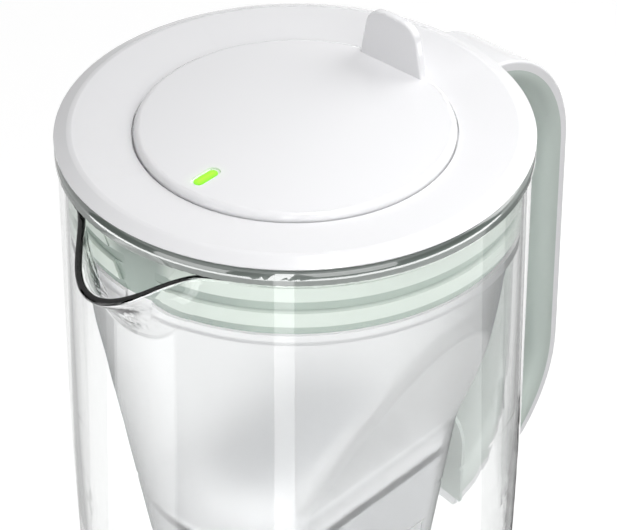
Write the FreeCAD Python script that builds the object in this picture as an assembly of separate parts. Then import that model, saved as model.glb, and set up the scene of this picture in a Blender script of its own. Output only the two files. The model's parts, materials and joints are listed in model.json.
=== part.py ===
import FreeCAD, Part
import math
import os

# Glass water filter pitcher, in millimetres: +Z is up, the handle is at +X and the spout at -X.

# Driving sizes: heights
EDGE = 255.0
RIM_DROP = 6.0
TAPER_FALL = 90.0

# Driving sizes: glass jug
GLASS_R = 71.6
WALL = 2.4
TAPER = 9.2
FLOOR = 6.0
CORNER_R = 12.0

# Driving sizes: pouring lip
LIP_REACH = 17.0
LIP_HALF = 29.0
LIP_SLOPE = 0.5
LIP_INSET = 3.3
LIP_BLEND = 40.0
LIP_ROUND = 0.9
SINK = 0.5

# Driving sizes: handle
HANDLE_W = 27.0
HANDLE_REACH = 45.7
HANDLE_TOP = 8.0
HANDLE_END = 179.0
TOP_BEND = 45.5
LOW_BEND = 46.0
SHELL_T = 3.3
COVER_T = 6.0
COVER_ROUND = 5.0
FOOT_T = 1.6
FOOT_W = 32.0
FOOT_H = 33.0
FOOT_R = 11.0

# Driving sizes: seal ring
SEAL_GAP = 0.3
RING_WALL = 2.6
BEAD_OUT = 0.9
BEAD_H = 5.25
BEAD_FOOT = 0.5
RING_DEEP = 25.4
GROOVE = 1.3

# Driving sizes: hopper and cartridge well
HOPPER_WALL = 1.8
SHOULDER_H = 3.6
CONE_IN = 4.3
CONE_FALL = 63.0
CONE_SLOPE = 0.1724
WELL_END = 178.0
FLAT_Y = 35.4
FLAT_FALL = 112.0
FLAT_DRAFT = 4.8
SHELF_ANGLE = 66.0
SHELF_R = 30.0
WELL_CORNER = 13.0
DRAIN_R = 3.5
DRAIN_MID_R = 5.0
DRAIN_X = 18.0
DRAIN_Y = 14.0
LABEL_RISE = 7.0
LABEL_H = 22.3
LABEL_HALF = 26.0
LABEL_LINE = 0.9
LABEL_OUT = 0.4

# Driving sizes: lid
LID_OVER = 0.9
BEVEL_W = 4.65
BEVEL_H = 2.4
LID_T = 2.0
RIDGE_ROUND = 3.0
SKIRT_DEEP = 12.0
PLATE_FALL = 6.4
PLATE_T = 1.6
LID_RING = 19.15
SKIRT_T = 2.0
SKIRT_FIT = 0.4

# Driving sizes: fill flap
FLAP_T = 2.0
FLAP_EDGE = 2.1
FLAP_DOME = 0.4
LEDGE_W = 3.2
LEDGE_FALL = 1.8
TAB_IN = 5.4
TAB_T = 2.8
TAB_W = 25.3
TAB_H = 17.4
TAB_LEAN = 3.2
TAB_R = 6.5
TAB_EDGE = 0.7
HINGE_OUT = 2.3
HINGE_FALL = 1.2
PIN_R = 1.0
PIN_FIT = 0.02
KNUCKLE_R = 1.9
KNUCKLE_W = 10.0
EAR_W = 5.0
EAR_WALL = 2.2
EAR_FLOOR = 1.6
EAR_END = 0.5

# Driving sizes: indicator in the flap
LIGHT_IN = 9.85
LIGHT_L = 8.9
LIGHT_W = 3.0
LIGHT_SINK = 0.5
DIODE_L = 3.2
DIODE_W = 1.6
BOARD_T = 1.0
BOARD_END = 3.4
BOARD_R = 1.5
CELL_IN = 24.7
CELL_R = 10.0
CELL_T = 3.2
CLIP_L = 16.0
CLIP_W = 5.0
CLIP_T = 0.3
POD_END = 2.0
POD_SIDE = 1.5
POD_R = 4.0
POD_WALL = 1.2
POD_ROOM = 1.15
POD_SEAL_W = 1.3
POD_SEAL_T = 0.6
FLANGE_T = 1.2
LUG_R = 2.6
SCREW_R = 0.82
SCREW_OUT = 1.1
HEAD_R = 1.9
HEAD_T = 1.3
DRIVE_L = 2.4
DRIVE_W = 0.5
DRIVE_DEEP = 0.7

# Driving sizes: cartridge
CART_FALL = 124.0
CART_WALL = 1.5
CART_GAP = 1.0
CART_SEAL_H = 2.5
GRIP_X = 2.0
GRIP_L = 56.0
GRIP_W = 22.0
GRIP_H = 6.9
GRIP_FOOT = 16.0
GRIP_T = 2.0
GRIP_ROUND = 2.0
SLOT_L = 8.0
SLOT_W = 2.2
SLOT_STEP = 11.0
CART_FLOOR = 2.0
CART_RISE = 1.2
CART_LID_T = 2.6
MESH_T = 0.8
MESH_GAP = 0.2

# Clearances
FIT = 0.05
REST = 0.3
SWING = 0.5

# Sizes that follow from the driving ones
RIM = EDGE - RIM_DROP
BORE = GLASS_R - WALL
RIB_R = BORE - SEAL_GAP
COLLAR_R = RIB_R - RING_WALL
COLLAR_IN = COLLAR_R - HOPPER_WALL
CONE_TOP = COLLAR_R - CONE_IN
LID_R = GLASS_R + LID_OVER
RIDGE_R = LID_R - BEVEL_W
BEAD_R = GLASS_R + BEAD_OUT
HANDLE_X = GLASS_R + HANDLE_REACH
FLAP_R = RIDGE_R - LID_RING
BEAD_LOW = RIM + FIT
BEAD_TOP = BEAD_LOW + BEAD_H
LID_LOW = BEAD_TOP + REST
RING_LOW = EDGE - RING_DEEP
SKIRT_R = COLLAR_IN - SKIRT_FIT
RECESS_R = FLAP_R + SWING
THROAT_R = RECESS_R - LEDGE_W
FLAP_TOP = EDGE + BEVEL_H
FLAP_LOW = EDGE - LEDGE_FALL + 0.4
LINER_R = THROAT_R - 1.0
HINGE_X = FLAP_R + HINGE_OUT
HINGE_Z = EDGE - HINGE_FALL
TAB_X = FLAP_R - TAB_IN
LIGHT_X = LIGHT_IN - FLAP_R
CELL_X = CELL_IN - FLAP_R
SCREW_Y = CELL_R + POD_SIDE + POD_SEAL_W + SCREW_OUT
WELL_LOW = EDGE - WELL_END
CART_TOP = EDGE - CART_FALL

os.makedirs("parts", exist_ok=True)


def vec(x, y, z):
    return FreeCAD.Vector(x, y, z)


def wire(points, place):
    """Closed wire through flat points; a pair of points is an arc through the first to the second."""
    edges = []
    here = points[0]
    for step in points[1:] + [points[0]]:
        if isinstance(step[0], tuple):
            edges.append(Part.Arc(place(*here), place(*step[0]), place(*step[1])).toShape())
            here = step[1]
        else:
            if math.dist(here, step) > 1e-6:
                edges.append(Part.makeLine(place(*here), place(*step)))
            here = step
    return Part.Wire(edges)


def turned(points):
    """Solid of revolution about Z from (radius, height) points."""
    face = Part.Face(wire(points, lambda r, z: vec(r, 0, z)))
    return face.revolve(vec(0, 0, 0), vec(0, 0, 1), 360)


def dome_arc(r, z, rise):
    """Arc of a ball-shaped dome from its edge to its top on the axis."""
    ball = (r * r + rise * rise) / (2 * rise)
    half = math.asin(r / ball) / 2
    return (ball * math.sin(half), z + rise - ball + ball * math.cos(half)), (0, z + rise)


def tube(r_out, r_in, low, high):
    return turned([(r_in, low), (r_out, low), (r_out, high), (r_in, high)])


def along_y(points, half):
    """Prism across the jug from (x, z) points, centred on the symmetry plane."""
    face = Part.Face(wire(points, lambda x, z: vec(x, -half, z)))
    return face.extrude(vec(0, 2 * half, 0))


def along_x(points, x0, x1):
    """Prism lengthwise from (y, z) points."""
    face = Part.Face(wire(points, lambda y, z: vec(x0, y, z)))
    return face.extrude(vec(x1 - x0, 0, 0))


def upright(points, low, high):
    """Prism upwards from (x, y) points."""
    face = Part.Face(wire(points, lambda x, y: vec(x, y, low)))
    return face.extrude(vec(0, 0, high - low))


def box(x0, x1, y0, y1, low, high):
    return Part.makeBox(x1 - x0, y1 - y0, high - low, vec(x0, y0, low))


def rounded(x0, x1, half, low, high, r):
    """Upright block with rounded corners, centred on the symmetry plane."""
    k = r * (1 - math.sqrt(0.5))
    points = [
        (x0 + r, -half),
        (x1 - r, -half),
        ((x1 - k, -half + k), (x1, -half + r)),
        (x1, half - r),
        ((x1 - k, half - k), (x1 - r, half)),
        (x0 + r, half),
        ((x0 + k, half - k), (x0, half - r)),
        (x0, -half + r),
        ((x0 + k, -half + k), (x0 + r, -half)),
    ]
    return upright(points, low, high)


def oblong(x, length, width, low, high):
    """Upright bar with round ends, lengthwise along X."""
    r = width / 2
    x0, x1 = x - length / 2, x + length / 2
    points = [(x0 + r, -r), (x1 - r, -r), ((x1, 0), (x1 - r, r)), (x0 + r, r), ((x0, 0), (x0 + r, -r))]
    return upright(points, low, high)


def rod(x, y, low, high, r):
    return Part.makeCylinder(r, high - low, vec(x, y, low))


def cross_rod(x, z, half, r):
    return Part.makeCylinder(r, 2 * half, vec(x, -half, z), vec(0, 1, 0))


def edges_at(shape, test):
    """Edges whose every end and middle passes a test."""
    kept = []
    for edge in shape.Edges:
        first, last = edge.ParameterRange
        spots = [edge.valueAt(first + (last - first) * k / 4) for k in range(5)]
        if all(test(p) for p in spots):
            kept.append(edge)
    return kept


def save(name, shape):
    shape = shape.removeSplitter()
    shape.exportStep("parts/" + name + ".step")
    print(name, len(shape.Solids), "solid", round(shape.Volume, 1), shape.isValid())


# Glass jug
def taper_radius():
    fall = EDGE - TAPER_FALL
    return (fall * fall + TAPER * TAPER) / (2 * TAPER)


def glass_radius(z):
    fall = EDGE - TAPER_FALL
    if z >= fall:
        return GLASS_R
    bend = taper_radius()
    return GLASS_R - bend + math.sqrt(bend * bend - (fall - z) ** 2)


def glass_body(grow, low, corner):
    """Turned body of the jug, grown sideways, from a floor level to the rim."""
    fall = EDGE - TAPER_FALL
    middle = (low + fall) / 2
    points = [
        (0, low),
        (glass_radius(low) + grow, low),
        ((glass_radius(middle) + grow, middle), (GLASS_R + grow, fall)),
        (GLASS_R + grow, RIM),
        (0, RIM),
    ]
    body = turned(points)
    return body.makeFillet(corner, edges_at(body, lambda p: abs(p.z - low) < 1e-3 and p.Length > 1 and
                                            math.hypot(p.x, p.y) > 10))


def spout_levels():
    """Depth under the lid edge, reach beyond the glass and half width of the pouring lip."""
    shares = [(3.0, 1.30, 1.0), (9.0, 1.18, 1.0), (16.1, 1.0, 0.95), (20.0, 0.75, 0.9), (25.0, 0.46, 0.82)]
    shares += [(30.0, 0.22, 0.72), (35.0, 0.06, 0.62), (40.0, -0.04, 0.53), (44.0, -0.1, 0.46)]
    return [(fall, LIP_REACH * reach, LIP_HALF * half) for fall, reach, half in shares]


def spout_body(radius, thinner, narrower):
    wires = []
    for fall, reach, half in spout_levels():
        z = EDGE - fall
        reach = reach - thinner * min(1.0, max(0.0, reach / LIP_REACH * 1.5))
        half = half - narrower
        spots = []
        for k in range(-10, 11):
            t = k / 10
            y = half * t
            bump = reach * (0.5 + 0.5 * math.cos(math.pi * t)) - SINK
            spots.append(vec(-math.sqrt(radius * radius - y * y) - bump, y, z))
        curve = Part.BSplineCurve()
        curve.interpolate(spots)
        back = -radius * 0.7
        lines = Part.makePolygon([spots[-1], vec(back, half, z), vec(back, -half, z), spots[0]])
        wires.append(Part.Wire([curve.toShape()] + lines.Edges))
    return Part.makeLoft(wires, True, False)


def lip_cutter():
    """Everything above the rim, and above the lip's sloping edge."""
    start = -(GLASS_R - LIP_INSET)
    far = start - 60
    lean = math.atan(LIP_SLOPE)
    bend = start + LIP_BLEND * math.tan(lean / 2)

    def on_bend(angle):
        return bend - LIP_BLEND * math.sin(angle), RIM - LIP_BLEND * (1 - math.cos(angle))
    points = [
        (0, RIM),
        (bend, RIM),
        (on_bend(lean / 2), on_bend(lean)),
        (far, RIM + (far - start) * LIP_SLOPE),
        (far, RIM + 40),
        (0, RIM + 40),
    ]
    return along_y(points, GLASS_R)


def lip_height(x):
    """Height of the glass edge at a place along the jug."""
    start = -(GLASS_R - LIP_INSET)
    lean = math.atan(LIP_SLOPE)
    bend = start + LIP_BLEND * math.tan(lean / 2)
    if x >= bend:
        return RIM
    if x >= bend - LIP_BLEND * math.sin(lean):
        return RIM - LIP_BLEND + math.sqrt(LIP_BLEND ** 2 - (bend - x) ** 2)
    return RIM + (x - start) * LIP_SLOPE


def glass_jug():
    outer = glass_body(0, 0, CORNER_R).fuse(spout_body(GLASS_R, 0, 0))
    inner = glass_body(-WALL, FLOOR, CORNER_R - WALL).fuse(spout_body(BORE, WALL * 0.35, 1.5))
    jug = outer.cut(inner).cut(lip_cutter())
    return jug.makeFillet(LIP_ROUND, edges_at(jug, lambda p: abs(p.z - lip_height(p.x)) < 1e-3))


# Handle
def strap(d0, d1):
    """Handle strap between two depths in from its outer face."""
    zt = EDGE - HANDLE_TOP
    zb = EDGE - HANDLE_END
    cxt = HANDLE_X - TOP_BEND
    czt = zt - TOP_BEND
    cxb = HANDLE_X - LOW_BEND
    czb = zb + LOW_BEND
    inside = GLASS_R / 2
    h = math.sqrt(0.5)
    r0, r1 = TOP_BEND - d0, TOP_BEND - d1
    s0, s1 = LOW_BEND - d0, LOW_BEND - d1
    points = [
        (inside, zt - d0),
        (cxt, zt - d0),
        ((cxt + r0 * h, czt + r0 * h), (cxt + r0, czt)),
        (cxb + s0, czb),
        ((cxb + s0 * h, czb - s0 * h), (cxb, czb - s0)),
        (inside, czb - s0),
        (inside, czb - s1),
        (cxb, czb - s1),
        ((cxb + s1 * h, czb - s1 * h), (cxb + s1, czb)),
        (cxt + r1, czt),
        ((cxt + r1 * h, czt + r1 * h), (cxt, zt - d1)),
        (inside, zt - d1),
    ]
    return along_y(points, HANDLE_W / 2)


def long_edges(shape, d, half):
    """Edges along the strap at one depth and one side."""
    zt = EDGE - HANDLE_TOP
    zb = EDGE - HANDLE_END
    cxt, czt = HANDLE_X - TOP_BEND, zt - TOP_BEND
    cxb, czb = HANDLE_X - LOW_BEND, zb + LOW_BEND

    def on_path(p):
        if abs(abs(p.y) - half) > 1e-3:
            return False
        if p.z >= czt and p.x >= cxt:
            return abs(math.hypot(p.x - cxt, p.z - czt) - TOP_BEND + d) < 1e-3
        if p.z <= czb and p.x >= cxb:
            return abs(math.hypot(p.x - cxb, p.z - czb) - LOW_BEND + d) < 1e-3
        return abs(p.x - HANDLE_X + d) < 1e-3
    return edges_at(shape, on_path)


def strap_trim():
    """The jug's outside, grown by the bonded feet."""
    return glass_body(FOOT_T + 2 * FIT, 0, CORNER_R)


def handle_shell():
    shell = strap(0, SHELL_T)
    shell = shell.makeFillet(1.0, long_edges(shell, 0, HANDLE_W / 2))
    return shell.cut(glass_body(2 * FIT, 0, CORNER_R))


def handle_cover():
    cover = strap(SHELL_T, SHELL_T + COVER_T)
    cover = cover.makeFillet(COVER_ROUND, long_edges(cover, SHELL_T + COVER_T, HANDLE_W / 2))
    return cover.cut(strap_trim())


def foot(low, high, round_low):
    """Curved plate bonded to the glass, round at one end."""
    half = FOOT_W / 2
    k = FOOT_R * (1 - math.sqrt(0.5))
    square, arch = (high, low + FOOT_R) if round_low else (low, high - FOOT_R)
    tip = low if round_low else high
    turn = k if round_low else -k
    points = [
        (-half, square),
        (half, square),
        (half, arch),
        ((half - k, tip + turn), (half - FOOT_R, tip)),
        (-half + FOOT_R, tip),
        ((-half + k, tip + turn), (-half, arch)),
    ]
    outline = along_x(points, GLASS_R * 0.7, GLASS_R * 1.2)
    skin = glass_body(FOOT_T + FIT, 0, CORNER_R).cut(glass_body(FIT, 0, CORNER_R))
    return skin.common(outline)


def handle_upper_foot():
    top = EDGE - HANDLE_TOP - SHELL_T - FIT
    return foot(top - FOOT_H, top, True)


def handle_lower_foot():
    low = EDGE - HANDLE_END + SHELL_T + FIT
    return foot(low, low + FOOT_H, False)


# Seal ring
def seal_ring():
    r_in = COLLAR_R + FIT
    deep = RIB_R - GROOVE
    c = 0.6
    rib = (BEAD_LOW - RING_LOW) * 0.31
    gap = (BEAD_LOW - RING_LOW) * 0.15
    a = BEAD_LOW - 1.8
    b = a - rib
    g = b - gap
    e = g - rib
    f = BEAD_FOOT
    k = BEAD_H * 0.6
    h = 1 - math.sqrt(0.5)
    points = [
        (r_in, RING_LOW),
        (deep, RING_LOW),
        (deep, e),
        (RIB_R, e + c),
        (RIB_R, g - c),
        (deep, g),
        (deep, b),
        (RIB_R, b + c),
        (RIB_R, a - c),
        (deep, a),
        (deep, BEAD_LOW),
        (BEAD_R - f, BEAD_LOW),
        ((BEAD_R - f * h, BEAD_LOW + f * h), (BEAD_R, BEAD_LOW + f)),
        (BEAD_R, BEAD_TOP - k),
        ((BEAD_R - k * h, BEAD_TOP - k * h), (BEAD_R - k, BEAD_TOP)),
        (r_in, BEAD_TOP),
    ]
    ring = turned(points)
    top, low = 16.5, 4.5
    notch = along_x([(-top, BEAD_LOW), (top, BEAD_LOW), (low, RING_LOW - 1), (-low, RING_LOW - 1)],
                    -GLASS_R - 5, -(COLLAR_R + 1.0))
    return ring.cut(notch)


# Hopper
def cone_radius(z):
    return CONE_TOP - (EDGE - CONE_FALL - z) * CONE_SLOPE


def well_body(offset, low, high):
    """Funnel and flat-sided well, moved in by an offset, between two levels."""
    start = RING_LOW - SHOULDER_H
    blend = EDGE - CONE_FALL
    end = WELL_LOW - 10
    curve = Part.BSplineCurve()
    spots = [(COLLAR_R - 0.3, start), (COLLAR_R - 1.2, (start * 2 + blend) / 3), (CONE_TOP, blend)]
    curve.interpolate(Points=[vec(r - offset, 0, z) for r, z in spots],
                      InitialTangent=vec(0, 0, -1), FinalTangent=vec(-CONE_SLOPE, 0, -1))
    top, joint = spots[0], spots[-1]
    r_end = cone_radius(end) - offset
    line = Part.makePolygon([vec(joint[0] - offset, 0, joint[1]), vec(r_end, 0, end), vec(0, 0, end),
                             vec(0, 0, start), vec(top[0] - offset, 0, start)])
    face = Part.Face(Part.Wire([curve.toShape()] + line.Edges))
    cone = face.revolve(vec(0, 0, 0), vec(0, 0, 1), 360)
    flat = EDGE - FLAT_FALL
    rise = math.tan(math.radians(SHELF_ANGLE))
    lean = math.tan(math.radians(FLAT_DRAFT))
    wide = COLLAR_R + 20
    y_top = FLAT_Y - offset
    lift = offset / math.cos(math.radians(SHELF_ANGLE))
    y_end = y_top - (flat - end) * lean
    shelf = flat + lift + (wide - y_top) * rise
    half = [(y_top, flat + lift), (wide, shelf), (wide, start + 20)]
    points = [(-y_end, end - 1), (y_end, end - 1)] + half + [(-y, z) for y, z in reversed(half)]
    prism = along_x(points, -wide, wide)
    prism = prism.makeFillet(SHELF_R + offset, edges_at(prism, lambda p: abs(abs(p.y) - y_top) < 1e-3 and
                                                        abs(p.z - flat - lift) < 1e-3))
    body = cone.common(prism)

    def corner(p):
        inside = p.z < start - 5 and p.z > end + 5
        return inside and abs(math.hypot(p.x, p.y) - cone_radius(p.z) + offset) < 0.01
    body = body.makeFillet(WELL_CORNER - offset, edges_at(body, corner))
    return body.common(box(-wide, wide, -wide, wide, low, high))


def label_frame():
    """Plain raised rectangle on the near flat of the well."""
    low = WELL_LOW + LABEL_RISE
    high = low + LABEL_H
    half, line = LABEL_HALF, LABEL_LINE
    skin = well_body(-LABEL_OUT, WELL_LOW, RING_LOW)
    outer = box(-half, half, -COLLAR_R, 0, low, high)
    inner = box(-half + line, half - line, -COLLAR_R, 0, low + line, high - line)
    return skin.common(outer.cut(inner))


def hopper():
    start = RING_LOW - SHOULDER_H
    collar = tube(COLLAR_R, COLLAR_IN, start - 1, BEAD_TOP)
    shoulder = tube(RIB_R - 0.3, COLLAR_IN, start, RING_LOW - FIT)
    outer = well_body(0, WELL_LOW, start).fuse(label_frame())
    shape = outer.fuse(collar).fuse(shoulder)
    shape = shape.cut(well_body(HOPPER_WALL, WELL_LOW + HOPPER_WALL, start))
    shape = shape.cut(rod(0, 0, start - 2, start + 1, COLLAR_IN))
    notch = along_x([(-5, start - 1), (5, start - 1), (5, RING_LOW), (-5, RING_LOW)],
                    -GLASS_R, -(COLLAR_R + 1.0))
    shape = shape.cut(notch)
    for k in range(6):
        a = math.radians(60 * k)
        x, y = DRAIN_X * math.cos(a), DRAIN_Y * math.sin(a)
        shape = shape.cut(rod(x, y, WELL_LOW - 1, WELL_LOW + 2 * HOPPER_WALL, DRAIN_R))
    return shape.cut(rod(0, 0, WELL_LOW - 1, WELL_LOW + 2 * HOPPER_WALL, DRAIN_MID_R))


# Lid
def dish_height(r):
    """Top of the lid's dished ring at a radius."""
    return EDGE + BEVEL_H * (r - RECESS_R) / (RIDGE_R - RECESS_R)


def hinge_pocket(grow):
    """Room for the flap's knuckle behind the flap."""
    half = KNUCKLE_W / 2 + REST + grow
    reach = HINGE_X + KNUCKLE_R + REST + grow
    return box(THROAT_R - 2, reach, -half, half, HINGE_Z - KNUCKLE_R - REST - grow, EDGE + 10)


def pin_half():
    return KNUCKLE_W / 2 + REST + EAR_W - EAR_END


def hinge_boss(grow):
    """Block round the hinge pocket, under the lid's ring."""
    half = KNUCKLE_W / 2 + REST + EAR_W + grow
    reach = HINGE_X + KNUCKLE_R + EAR_WALL + grow
    return box(THROAT_R + 0.5, reach, -half, half, HINGE_Z - KNUCKLE_R - EAR_FLOOR - grow, EDGE)


def lid_cover():
    ledge = EDGE - LEDGE_FALL
    throat_out = THROAT_R + LID_T
    plate_low = EDGE - PLATE_FALL - PLATE_T
    under = SKIRT_R + MESH_GAP
    step = min(LID_T, (under - RECESS_R - 2 * LID_T) / 2)
    inner = RECESS_R + LID_T + step
    points = [
        (THROAT_R, plate_low),
        (throat_out, plate_low),
        (throat_out, ledge - LID_T),
        (RECESS_R + LID_T, ledge - LID_T),
        (inner, dish_height(inner) - LID_T),
        (under - LID_T, dish_height(under - LID_T) - LID_T),
        (under, LID_LOW),
        (LID_R - 0.4, LID_LOW),
        (LID_R, LID_LOW + 0.4),
        (LID_R, EDGE + 0.2),
        (RIDGE_R, EDGE + BEVEL_H),
        (RECESS_R, EDGE),
        (RECESS_R, ledge),
        (THROAT_R, ledge),
    ]
    cover = turned(points)
    cover = cover.makeFillet(RIDGE_ROUND, edges_at(cover, lambda p: abs(p.z - EDGE - BEVEL_H) < 1e-3))
    top = turned([(0, plate_low), (RIDGE_R, plate_low), (RIDGE_R, EDGE + BEVEL_H), (RECESS_R, EDGE),
                  (RECESS_R, ledge), (THROAT_R, ledge), (0, ledge)])
    cover = cover.fuse(hinge_boss(0).common(top).cut(rod(0, 0, plate_low - 1, EDGE + 5, THROAT_R)))
    cover = cover.cut(hinge_pocket(0))
    return cover.cut(cross_rod(HINGE_X, HINGE_Z, pin_half() + FIT, PIN_R + PIN_FIT))


def lid_skirt():
    plate_high = EDGE - PLATE_FALL
    plate_low = plate_high - PLATE_T
    inner = THROAT_R + LID_T + SKIRT_FIT / 2
    wall = SKIRT_R - SKIRT_T
    points = [
        (inner, plate_low),
        (wall, plate_low),
        (wall, EDGE - SKIRT_DEEP),
        (SKIRT_R, EDGE - SKIRT_DEEP),
        (SKIRT_R, LID_LOW - 0.05),
        (SKIRT_R - 1.2, LID_LOW - 0.05),
        (wall, LID_LOW - 1.5),
        (wall, plate_high),
        (inner, plate_high),
    ]
    return turned(points).cut(hinge_boss(REST))


def hinge_pin():
    pin = cross_rod(HINGE_X, HINGE_Z, pin_half(), PIN_R)
    return pin.makeChamfer(0.3, pin.Edges)


# Fill flap
def thumb_tab():
    half = TAB_W / 2
    top = FLAP_TOP + TAB_H
    low = FLAP_TOP - 1.0
    shoulder = (half - TAB_LEAN, top - 1.0)
    points = [
        (-half, low),
        (half, low),
        shoulder,
        ((0, top), (-shoulder[0], shoulder[1])),
    ]
    tab = along_x(points, TAB_X, TAB_X + TAB_T)
    tab = tab.makeFillet(TAB_R, edges_at(tab, lambda p: math.dist((abs(p.y), p.z), shoulder) < 1e-3))
    sides = (TAB_X, TAB_X + TAB_T)
    outline = edges_at(tab, lambda p: min(abs(p.x - x) for x in sides) < 1e-3)
    return tab.makeFillet(TAB_EDGE, [e for e in outline if e.BoundBox.ZMax > FLAP_TOP])


def flap_cap():
    rim = FLAP_R - 2.3
    under = FLAP_TOP - FLAP_T
    k = FLAP_EDGE * (1 - math.sqrt(0.5))
    points = [
        (0, under),
        (rim, under),
        (rim, FLAP_LOW),
        (FLAP_R, FLAP_LOW),
        (FLAP_R, FLAP_TOP - FLAP_EDGE),
        ((FLAP_R - k, FLAP_TOP - k), (FLAP_R - FLAP_EDGE, FLAP_TOP)),
        dome_arc(FLAP_R - FLAP_EDGE, FLAP_TOP, FLAP_DOME),
    ]
    cap = turned(points).fuse(thumb_tab())
    half = KNUCKLE_W / 2
    arm = box(rim + 0.1, HINGE_X, -half, half, HINGE_Z - 0.9, HINGE_Z + KNUCKLE_R)
    cap = cap.fuse(cross_rod(HINGE_X, HINGE_Z, half, KNUCKLE_R).fuse(arm))
    cap = cap.cut(cross_rod(HINGE_X, HINGE_Z, half + 1, PIN_R + FIT))
    cap = cap.cut(oblong(LIGHT_X, LIGHT_L + 2 * FIT, LIGHT_W + 2 * FIT, under - 1, FLAP_TOP + 2))
    return cap.cut(oblong(LIGHT_X, LIGHT_L + 2.0, LIGHT_W + 1.5, FLAP_TOP - LIGHT_SINK, FLAP_TOP + 2))


def pod_opening(grow, low, high):
    reach = CELL_R + POD_END + grow
    return rounded(CELL_X - reach, CELL_X + reach, CELL_R + POD_SIDE + grow, low, high, POD_R + grow)


def liner_levels():
    high = FLAP_LOW - 0.2
    return high - 1.5, high


def flap_liner():
    low, high = liner_levels()
    under = FLAP_TOP - FLAP_T - FIT
    points = [
        (0, low),
        (LINER_R - 0.6, low),
        (LINER_R, low + 0.6),
        (LINER_R, under),
        (LINER_R - 1.4, under),
        (LINER_R - 1.4, high),
        (0, high),
    ]
    liner = turned(points).cut(pod_opening(0, low - 1, high + 1))
    for side in (-1, 1):
        liner = liner.cut(rod(CELL_X, side * SCREW_Y, low - 1, high + 1, SCREW_R + 0.03))
    return liner


def light_window():
    under = FLAP_TOP - FLAP_T
    return oblong(LIGHT_X, LIGHT_L, LIGHT_W, under - 0.2, FLAP_TOP - 0.1)


def board_levels():
    low = liner_levels()[1] + 0.3
    return low, low + BOARD_T


def circuit_board():
    low, high = board_levels()
    return rounded(LIGHT_X - BOARD_END, CELL_X + CELL_R + 1, CELL_R - 1, low, high, BOARD_R)


def light_diode():
    high = board_levels()[1]
    top = FLAP_TOP - FLAP_T - 0.3
    return box(LIGHT_X - DIODE_L / 2, LIGHT_X + DIODE_L / 2, -DIODE_W / 2, DIODE_W / 2, high, top)


def cell_clip():
    low = board_levels()[0]
    half = CLIP_W / 2
    end = CELL_X - CLIP_L / 2
    strip = box(end, end + CLIP_L, -half, half, low - CLIP_T, low)
    return strip.fuse(box(end, end + CLIP_T, -half, half, low - 2 * CLIP_T, low))


def coin_cell():
    high = board_levels()[0] - 2 * CLIP_T - FIT
    cell = rod(CELL_X, 0, high - CELL_T, high, CELL_R)
    return cell.makeFillet(0.5, cell.Edges[:1] + cell.Edges[2:3])


def pod_levels():
    """Seal bottom, flange bottom and pod bottom."""
    seal = liner_levels()[0] - POD_SEAL_T
    cell = board_levels()[0] - 2 * CLIP_T - FIT - CELL_T
    return seal, seal - FLANGE_T, cell - POD_ROOM - POD_WALL


def pod_seal():
    low = pod_levels()[0]
    high = liner_levels()[0]
    return pod_opening(POD_SEAL_W, low, high).cut(pod_opening(0.1, low - 1, high + 1))


def pod_housing():
    seal, flange, bottom = pod_levels()
    tub = pod_opening(-0.2, bottom, seal)
    tub = tub.makeFillet(POD_WALL, edges_at(tub, lambda p: abs(p.z - bottom) < 1e-3))
    plate = pod_opening(POD_SEAL_W, flange, seal)
    for side in (-1, 1):
        lug = rod(CELL_X, side * SCREW_Y, flange, seal, LUG_R)
        plate = plate.fuse(lug)
    pod = tub.fuse(plate).cut(pod_opening(-0.2 - POD_WALL, bottom + POD_WALL, seal + 1))
    for side in (-1, 1):
        pod = pod.cut(rod(CELL_X, side * SCREW_Y, flange - 1, seal + 1, SCREW_R + 0.33))
    return pod


def pod_screws():
    seal, flange, bottom = pod_levels()
    low, high = liner_levels()
    screws = []
    for side in (-1, 1):
        y = side * SCREW_Y
        screw = rod(CELL_X, y, flange - HEAD_T, flange, HEAD_R)
        screw = screw.fuse(rod(CELL_X, y, flange, high, SCREW_R))
        for a, b in ((DRIVE_L / 2, DRIVE_W / 2), (DRIVE_W / 2, DRIVE_L / 2)):
            slot = box(CELL_X - a, CELL_X + a, y - b, y + b, flange - 2 * HEAD_T, flange - DRIVE_DEEP)
            screw = screw.cut(slot)
        screws.append(screw)
    return Part.makeCompound(screws)


# Cartridge
def cart_low():
    return WELL_LOW + HOPPER_WALL + CART_RISE


def cartridge_body():
    low = cart_low()
    skin = HOPPER_WALL + CART_GAP
    shell = well_body(skin, low, CART_TOP)
    shell = shell.cut(well_body(skin + CART_WALL, low + CART_FLOOR, CART_TOP + 1))
    for k in range(-3, 4):
        shell = shell.cut(oblong(0, 40 - 3 * abs(k), 2.4, low - 1, low + 4).translated(vec(0, 5.2 * k, 0)))
    return shell


def cartridge_seal():
    skin = HOPPER_WALL + CART_GAP
    high = CART_TOP - REST
    low = high - CART_SEAL_H
    return well_body(HOPPER_WALL + 0.35, low, high).cut(well_body(skin - FIT, low - 1, high + 1))


def grip_hump(wider, low, high):
    """Hump with a broad foot and a narrow top, wider or narrower by an amount all round."""
    foot_l, foot_w = GRIP_L + 2 * GRIP_FOOT, GRIP_W + 2 * GRIP_FOOT
    levels = ((foot_l, foot_w, low), (GRIP_L, GRIP_W, high))
    faces = [oblong(GRIP_X, a + 2 * wider, b + 2 * wider, z, z + 1).Faces for a, b, z in levels]
    outlines = [min(group, key=lambda f: f.CenterOfMass.z).OuterWire for group in faces]
    return Part.makeLoft(outlines, True, True)


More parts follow.
